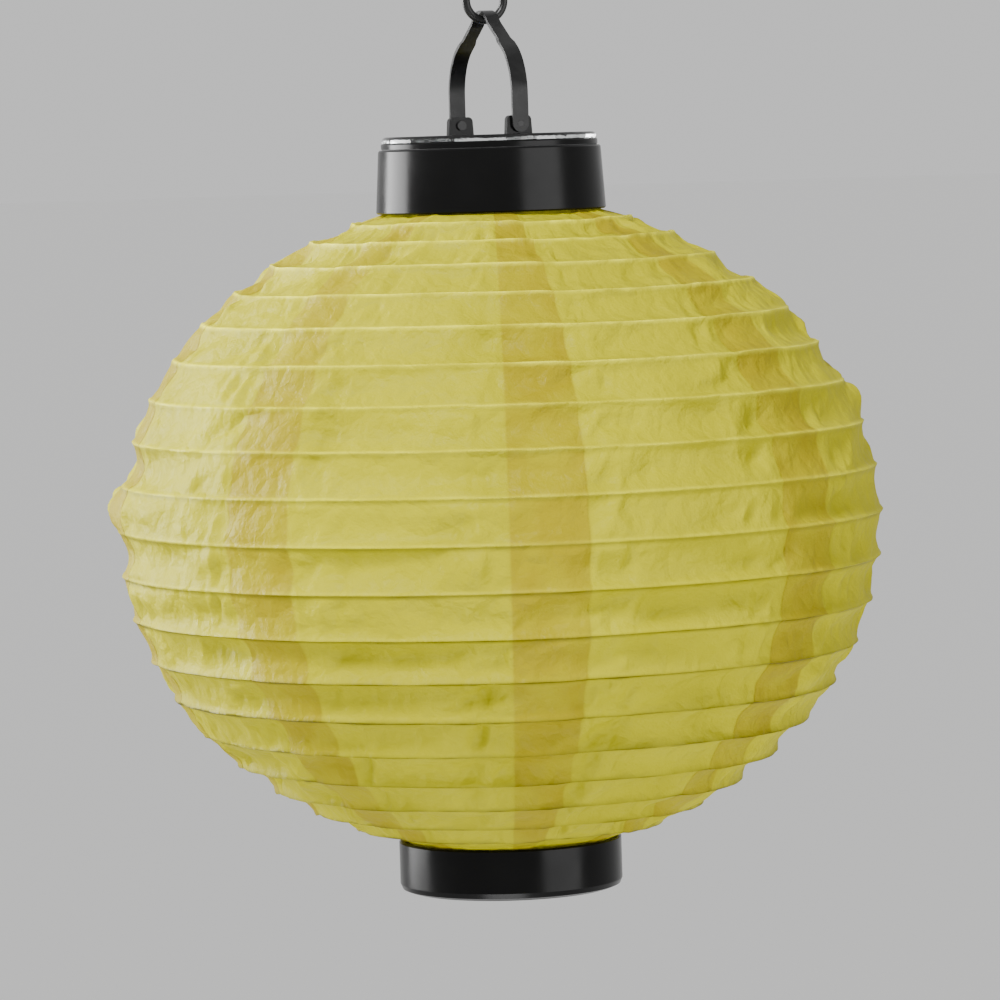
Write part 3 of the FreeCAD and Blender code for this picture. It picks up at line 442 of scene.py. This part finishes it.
def ring(name, radius, level, wire):
    """A closed wire ring: a circle of the wire's radius carried round a level circle of the radius."""
    turn, lap = np.meshgrid(np.arange(hoop_sides), np.arange(wire_sides), indexing="ij")
    corner = turn * wire_sides + lap
    turn, lap = turn * TURN / hoop_sides, lap * TURN / wire_sides
    out = radius + wire * np.cos(lap)
    points = np.stack([out * np.cos(turn), out * np.sin(turn), level + wire * np.sin(lap)], axis=-1)
    ahead, above = np.roll(corner, -1, 0), np.roll(corner, -1, 1)
    faces = np.stack([corner, ahead, np.roll(ahead, -1, 1), above], axis=-1).reshape(-1, 4)
    return new_piece(name, points, faces, finishes["hoop_steel"])


# The share of its height that the shade keeps when it is folded up.
shade_low, shade_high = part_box("fabric_gore_1")
collapse = next(joint for joint in frame["joints"] if joint["name"] == "collapse")
folded_share = 1 - collapse["range_m"][1] / (shade_high.z - shade_low.z)

hoops = sorted(name for name in frame["nodes"] if name.startswith("rib_hoop_"))
for name in hoops:
    radius, level, wire = hoop_size(name)
    piece = ring(f"wire_{name}", radius, level, wire)
    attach(piece, name)
    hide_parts(name)
    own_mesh(piece)


# ---- cloth ------------------------------------------------------------------------------------------------
def normals_of(line):
    """Outward normals at the corners of a line that runs down, each half way between its neighbours'."""
    steps = np.diff(line, axis=0)
    flat = np.stack([-steps[:, 1], steps[:, 0]], axis=-1) / np.hypot(steps[:, 0], steps[:, 1])[:, None]
    corners = np.concatenate([flat[:1], flat[:-1] + flat[1:], flat[-1:]])
    return corners / np.hypot(corners[:, 0], corners[:, 1])[:, None]


# The skin's line from the hem in the cap, over the wires, to the hem in the cup: (radius, level).
wires = np.array([hoop_size(name)[:2] for name in hoops])
wire_radius = hoop_size(hoops[-1])[2]
wires += normals_of(wires) * (wire_radius + cloth_off_wire)
top_ring, low_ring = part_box("top_clamp_ring"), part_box("bottom_clamp_ring")
collar_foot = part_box("top_collar")[0].z
cup_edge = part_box("bottom_collar")[1].z
top_hem, low_hem = top_ring[1].x + cloth_off_ring, low_ring[1].x + cloth_off_ring
skin = np.array(
    [(top_hem, shade_high.z), (top_hem, collar_foot - collar_gap)]
    + [tuple(spot) for spot in wires]
    + [(low_hem, cup_edge + collar_gap), (low_hem, shade_low.z)]
)
band_count = len(skin) - 1
lengths = np.hypot(*np.diff(skin, axis=0).T)
travelled = np.concatenate([[0], np.cumsum(lengths)])
corner_normals = normals_of(skin)


def skin_rows():
    """Band number and share of the band for each row of the grid. An even share less a small sine of it
    brings the rows closer together near the wires."""
    drawn_in = 0.09
    bands, shares = [], []
    for band in range(band_count):
        rows = rows_per_hem if band in (0, band_count - 1) else rows_per_band
        even = np.arange(rows) / rows
        bands.append(np.full(rows, band))
        shares.append(even - drawn_in * np.sin(TURN * even))
    return np.append(np.concatenate(bands), band_count - 1), np.append(np.concatenate(shares), 1.0)


# Slack places: band, angle to the right of the middle of the view, half the width round the lantern, and
# how far the cloth stands out there past its usual hollow.
slack_places = [
    (10, radians(-78), radians(34), 4.6 * MM),
    (7, radians(-80), radians(30), 2.6 * MM),
    (8, radians(-75), radians(30), 2.2 * MM),
    (5, radians(-80), radians(45), 2.4 * MM),
    (6, radians(-80), radians(45), 2.2 * MM),
    (5, radians(80), radians(25), 2.2 * MM),
    (15, radians(-80), radians(30), 2.0 * MM),
    (11, radians(86), radians(22), 1.4 * MM),
    (3, radians(0), radians(30), 1.6 * MM),
]

# The hollow as a share of a band's length, and how much that wanders; the share of it that the steep
# bands beside the collars have. The lengths down the skin over which the folds, the waves and the
# strength of both change, how near a wire the folds fade, and the strips with the strongest crumples.
hollow_share = 0.135
hollow_wander = 0.075
neck_share = 0.25
fold_pitch = 14 * MM
wave_pitch = 10 * MM
strength_pitch = 40 * MM
calm_by_wire = 1.3 * MM
crumple_from_seam = radians(4.5)
crumple_width = radians(6)


def seam_crumple(angle):
    """How crumpled the cloth is by its seams: a bell beside each edge of an overlap, less upon it."""
    past_seam = around((angle - first_seam) * gore_count, 0) / gore_count
    before = bump_at(past_seam + crumple_from_seam, crumple_width)
    after = bump_at(past_seam - overlap_span - crumple_from_seam, crumple_width)
    on_overlap = np.clip(1.5 * bump_at(past_seam - overlap_span / 2, overlap_span * 0.45), 0, 1)
    return (before + after) * (1 - 0.6 * on_overlap)


def cloth_offset(angle, band, share):
    """How far the cloth stands off the straight line between two wires. It hangs in a hollow, deepest
    half way, by a share of the band's length that wanders round the lantern, and stands out at the slack
    places. On that lie shallow waves, slanting folds in both directions, and short upright crumples that
    are strongest beside the seams. They fade at the wires, and over each wire is a narrow uneven bead."""
    length = lengths[band]
    along = travelled[band] + share * length
    turn = angle / TURN
    arch = 4 * share * (1 - share)
    open_band = ((band > 0) & (band < band_count - 1)).astype(float)
    neck = np.where((band == 1) | (band == band_count - 2), neck_share, 1.0) * open_band

    wander = smooth_noise(turn * 14, band * 1.37 + 0.5 * share, 14, 11)
    hollow = hollow_share + hollow_wander * wander
    offset = -hollow * length
    for place_band, place, half_width, height in slack_places:
        near = bump_at(around(angle, viewed_from + place), half_width)
        offset = offset + np.where(band == place_band, near * height, 0.0)
    offset = offset * arch * neck

    def folds(cells, lean, pace, seed):
        """Facets by their cells round the lantern, and the cells they lean and pass in a fold pitch."""
        run = along / fold_pitch
        return facets(turn * cells + lean * run, run * pace, cells, seed)

    seam = seam_crumple(angle)
    waves = 0.7 * smooth_noise(turn * 30, along / wave_pitch, 30, 21)
    leaning = 0.95 * folds(52, 0.5, 1.3, 31) + 0.75 * folds(44, -0.6, 1.1, 41)
    upright = 0.75 * folds(120, 0.15, 0.7, 51) * (0.12 + seam)
    small = 0.30 * folds(170, 0.4, 2.6, 61) * (0.3 + seam)
    restless = 0.5 + 0.5 * smooth_noise(turn * 12, along / strength_pitch, 12, 5)
    strength = 0.6 + 0.8 * restless + 0.95 * seam
    wrinkles = (waves + leaning + upright + small) * strength * MM

    from_wire = np.minimum(share, 1 - share) * length
    envelope = arch ** 0.7 * (1 - bump_at(from_wire, calm_by_wire)) * neck
    uneven = 1 + 0.35 * smooth_noise(turn * 60, band + share, 60, 71)
    bead = bead_height * bump_at(from_wire, bead_width) * uneven
    return offset + wrinkles * envelope + bead * open_band


def cloth_marks(angle, band, share, into):
    """What the finish reads at each point: how far the cloth is doubled, how near it is to the top of a
    wire, where it paints a highlight high up and shade at the very bottom, and how near to the line just
    below one, where it paints a shadow. The last two come and go round the lantern."""
    soft_edge, line_width, line_below = radians(0.4), 0.7 * MM, 0.55 * MM
    double = np.clip((overlap_span + soft_edge - into) / soft_edge, 0, 1)
    below_wire = share * lengths[band]
    from_wire = np.minimum(share, 1 - share) * lengths[band]
    wandering = 0.6 + 0.4 * smooth_noise(angle / TURN * 90, band * 3.1 + share, 90, 81)
    open_band = (band > 0) & (band < band_count - 1)
    on_wire = bump_at(from_wire, line_width) * wandering * open_band
    # Painted shadow: the line just below each wire, which the finish paints deeper.
    wire_shadow = bump_at(below_wire - line_below, line_below) * (0.45 + 0.55 * wandering) * open_band
    return {"doubled": np.broadcast_to(double, angle.shape), "on_wire": on_wire, "wire_shadow": wire_shadow}


def gore(number):
    """One gore: a grid over its angle and over the rows of the skin's line. Each point is the line's
    point, moved along the line's normal by the layer and by the cloth's offset, and turned to its angle.
    Every second gore lies over its two neighbours, and each gets thinner towards its cut edges."""
    start = first_seam + (number - 1) * gore_span
    seats = np.linspace(0, gore_span + overlap_span, columns_per_gore + 1)
    band, share = skin_rows()
    band, share = band[:, None], share[:, None]
    angle = np.broadcast_to(start + seats[None, :], (len(band), len(seats)))
    band, share = np.broadcast_to(band, angle.shape), np.broadcast_to(share, angle.shape)

    base = skin[band] * (1 - share[..., None]) + skin[band + 1] * share[..., None]
    normal = corner_normals[band] * (1 - share[..., None]) + corner_normals[band + 1] * share[..., None]
    normal = normal / np.linalg.norm(normal, axis=-1, keepdims=True)
    into = np.minimum(seats, gore_span + overlap_span - seats)
    laid = np.clip(into / edge_taper, 0, 1)
    layer = (cloth_thickness + layer_gap * (0.15 + 0.85 * laid)) * (number % 2)
    thickness = np.broadcast_to(cloth_thickness * (0.2 + 0.8 * laid), angle.shape)
    offset = cloth_offset(angle, band, share) + layer

    def turned(height):
        line = base + normal * height[..., None]
        return np.stack([line[..., 0] * np.cos(angle), line[..., 0] * np.sin(angle), line[..., 1]], axis=-1)

    points = np.concatenate([turned(offset + thickness), turned(offset)])
    faces = closed_sheet_faces(*angle.shape)[:, ::-1]
    piece = new_piece(f"cloth_gore_{number}", points, faces, finishes["lantern_cloth"])
    for name, field in cloth_marks(angle, band, share, into).items():
        values = np.concatenate([field, field]).astype(np.float32).ravel()
        piece.data.attributes.new(name, "FLOAT", "POINT").data.foreach_set("value", values)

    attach(piece, "shade_top")
    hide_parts(f"fabric_gore_{number}")
    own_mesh(piece)


for number in range(1, gore_count + 1):
    gore(number)


# ---- floor, light and camera ------------------------------------------------------------------------------
def floor():
    """A wide round floor well below the hanging lantern."""
    drop, radius, sides = 1.9, 240.0, 96
    angle = np.arange(sides) * TURN / sides
    level = np.full(sides, cad_low.z - drop)
    rim = np.stack([radius * np.cos(angle), radius * np.sin(angle), level], axis=-1)
    mesh = bpy.data.meshes.new("floor")
    mesh.from_pydata(rim, [], [list(range(sides))])
    mesh.materials.append(Finish("pale_floor", (0.97, 0.97, 0.965, 1), 0.9).material)
    piece = bpy.data.objects.new("floor", mesh)
    bpy.context.scene.collection.objects.link(piece)


def seen(right, forward, up):
    """A place from the middle of the shade: metres to the viewer's right, towards the viewer, and up."""
    toward = Vector((cos(viewed_from), sin(viewed_from), 0))
    side = Vector((-sin(viewed_from), cos(viewed_from), 0))
    return middle + side * right + toward * forward + Vector((0, 0, up))


def soft_light(name, place, width, height, power):
    """A rectangular soft light that faces the middle of the shade and is not itself in the picture."""
    lamp = bpy.data.lights.new(name, "AREA")
    lamp.shape, lamp.size, lamp.size_y, lamp.energy = "RECTANGLE", width, height, power
    holder = bpy.data.objects.new(name, lamp)
    holder.location = place
    holder.visible_camera = False
    holder.rotation_mode = "QUATERNION"
    holder.rotation_quaternion = (middle - place).to_track_quat("-Z", "Y")
    bpy.context.scene.collection.objects.link(holder)


def camera():
    """A long lens level with the cap's top, looking a little down, and rolled so that the lantern leans."""
    distance, below_cap, width_seen, roll = 1.8, 0.119, 0.3316, radians(1.75)
    cap_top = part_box("panel_cover")[0].z
    toward = Vector((cos(viewed_from), sin(viewed_from), 0))
    place = Vector((0, 0, cap_top)) + toward * distance
    aim = Vector((0, 0, cap_top - below_cap))
    lens = bpy.data.cameras.new("camera")
    lens.sensor_width = 36
    lens.lens = lens.sensor_width * (aim - place).length / width_seen
    holder = bpy.data.objects.new("camera", lens)
    holder.location = place
    holder.rotation_mode = "QUATERNION"
    holder.rotation_quaternion = (aim - place).to_track_quat("-Z", "Y") @ Quaternion((0, 0, 1), -roll)
    bpy.context.scene.collection.objects.link(holder)
    bpy.context.scene.camera = holder


middle = Vector((0, 0, (shade_low.z + shade_high.z) / 2))
floor()
soft_light("key", seen(-0.6, 1.3, 1.4), 0.5, 0.5, 92)
soft_light("left_box", seen(-1.3, -0.5, 0.35), 0.95, 1.3, 88)
soft_light("right_box", seen(1.55, 1.1, 0.1), 1.5, 1.2, 34)
soft_light("low_box", seen(-0.2, 1.3, -1.35), 1.1, 0.9, 34)
world = bpy.data.worlds.new("studio")
world.use_nodes = True
background = world.node_tree.nodes["Background"]
background.inputs["Color"].default_value = (1, 1, 1, 1)
background.inputs["Strength"].default_value = 0.72
bpy.context.scene.world = world
camera()
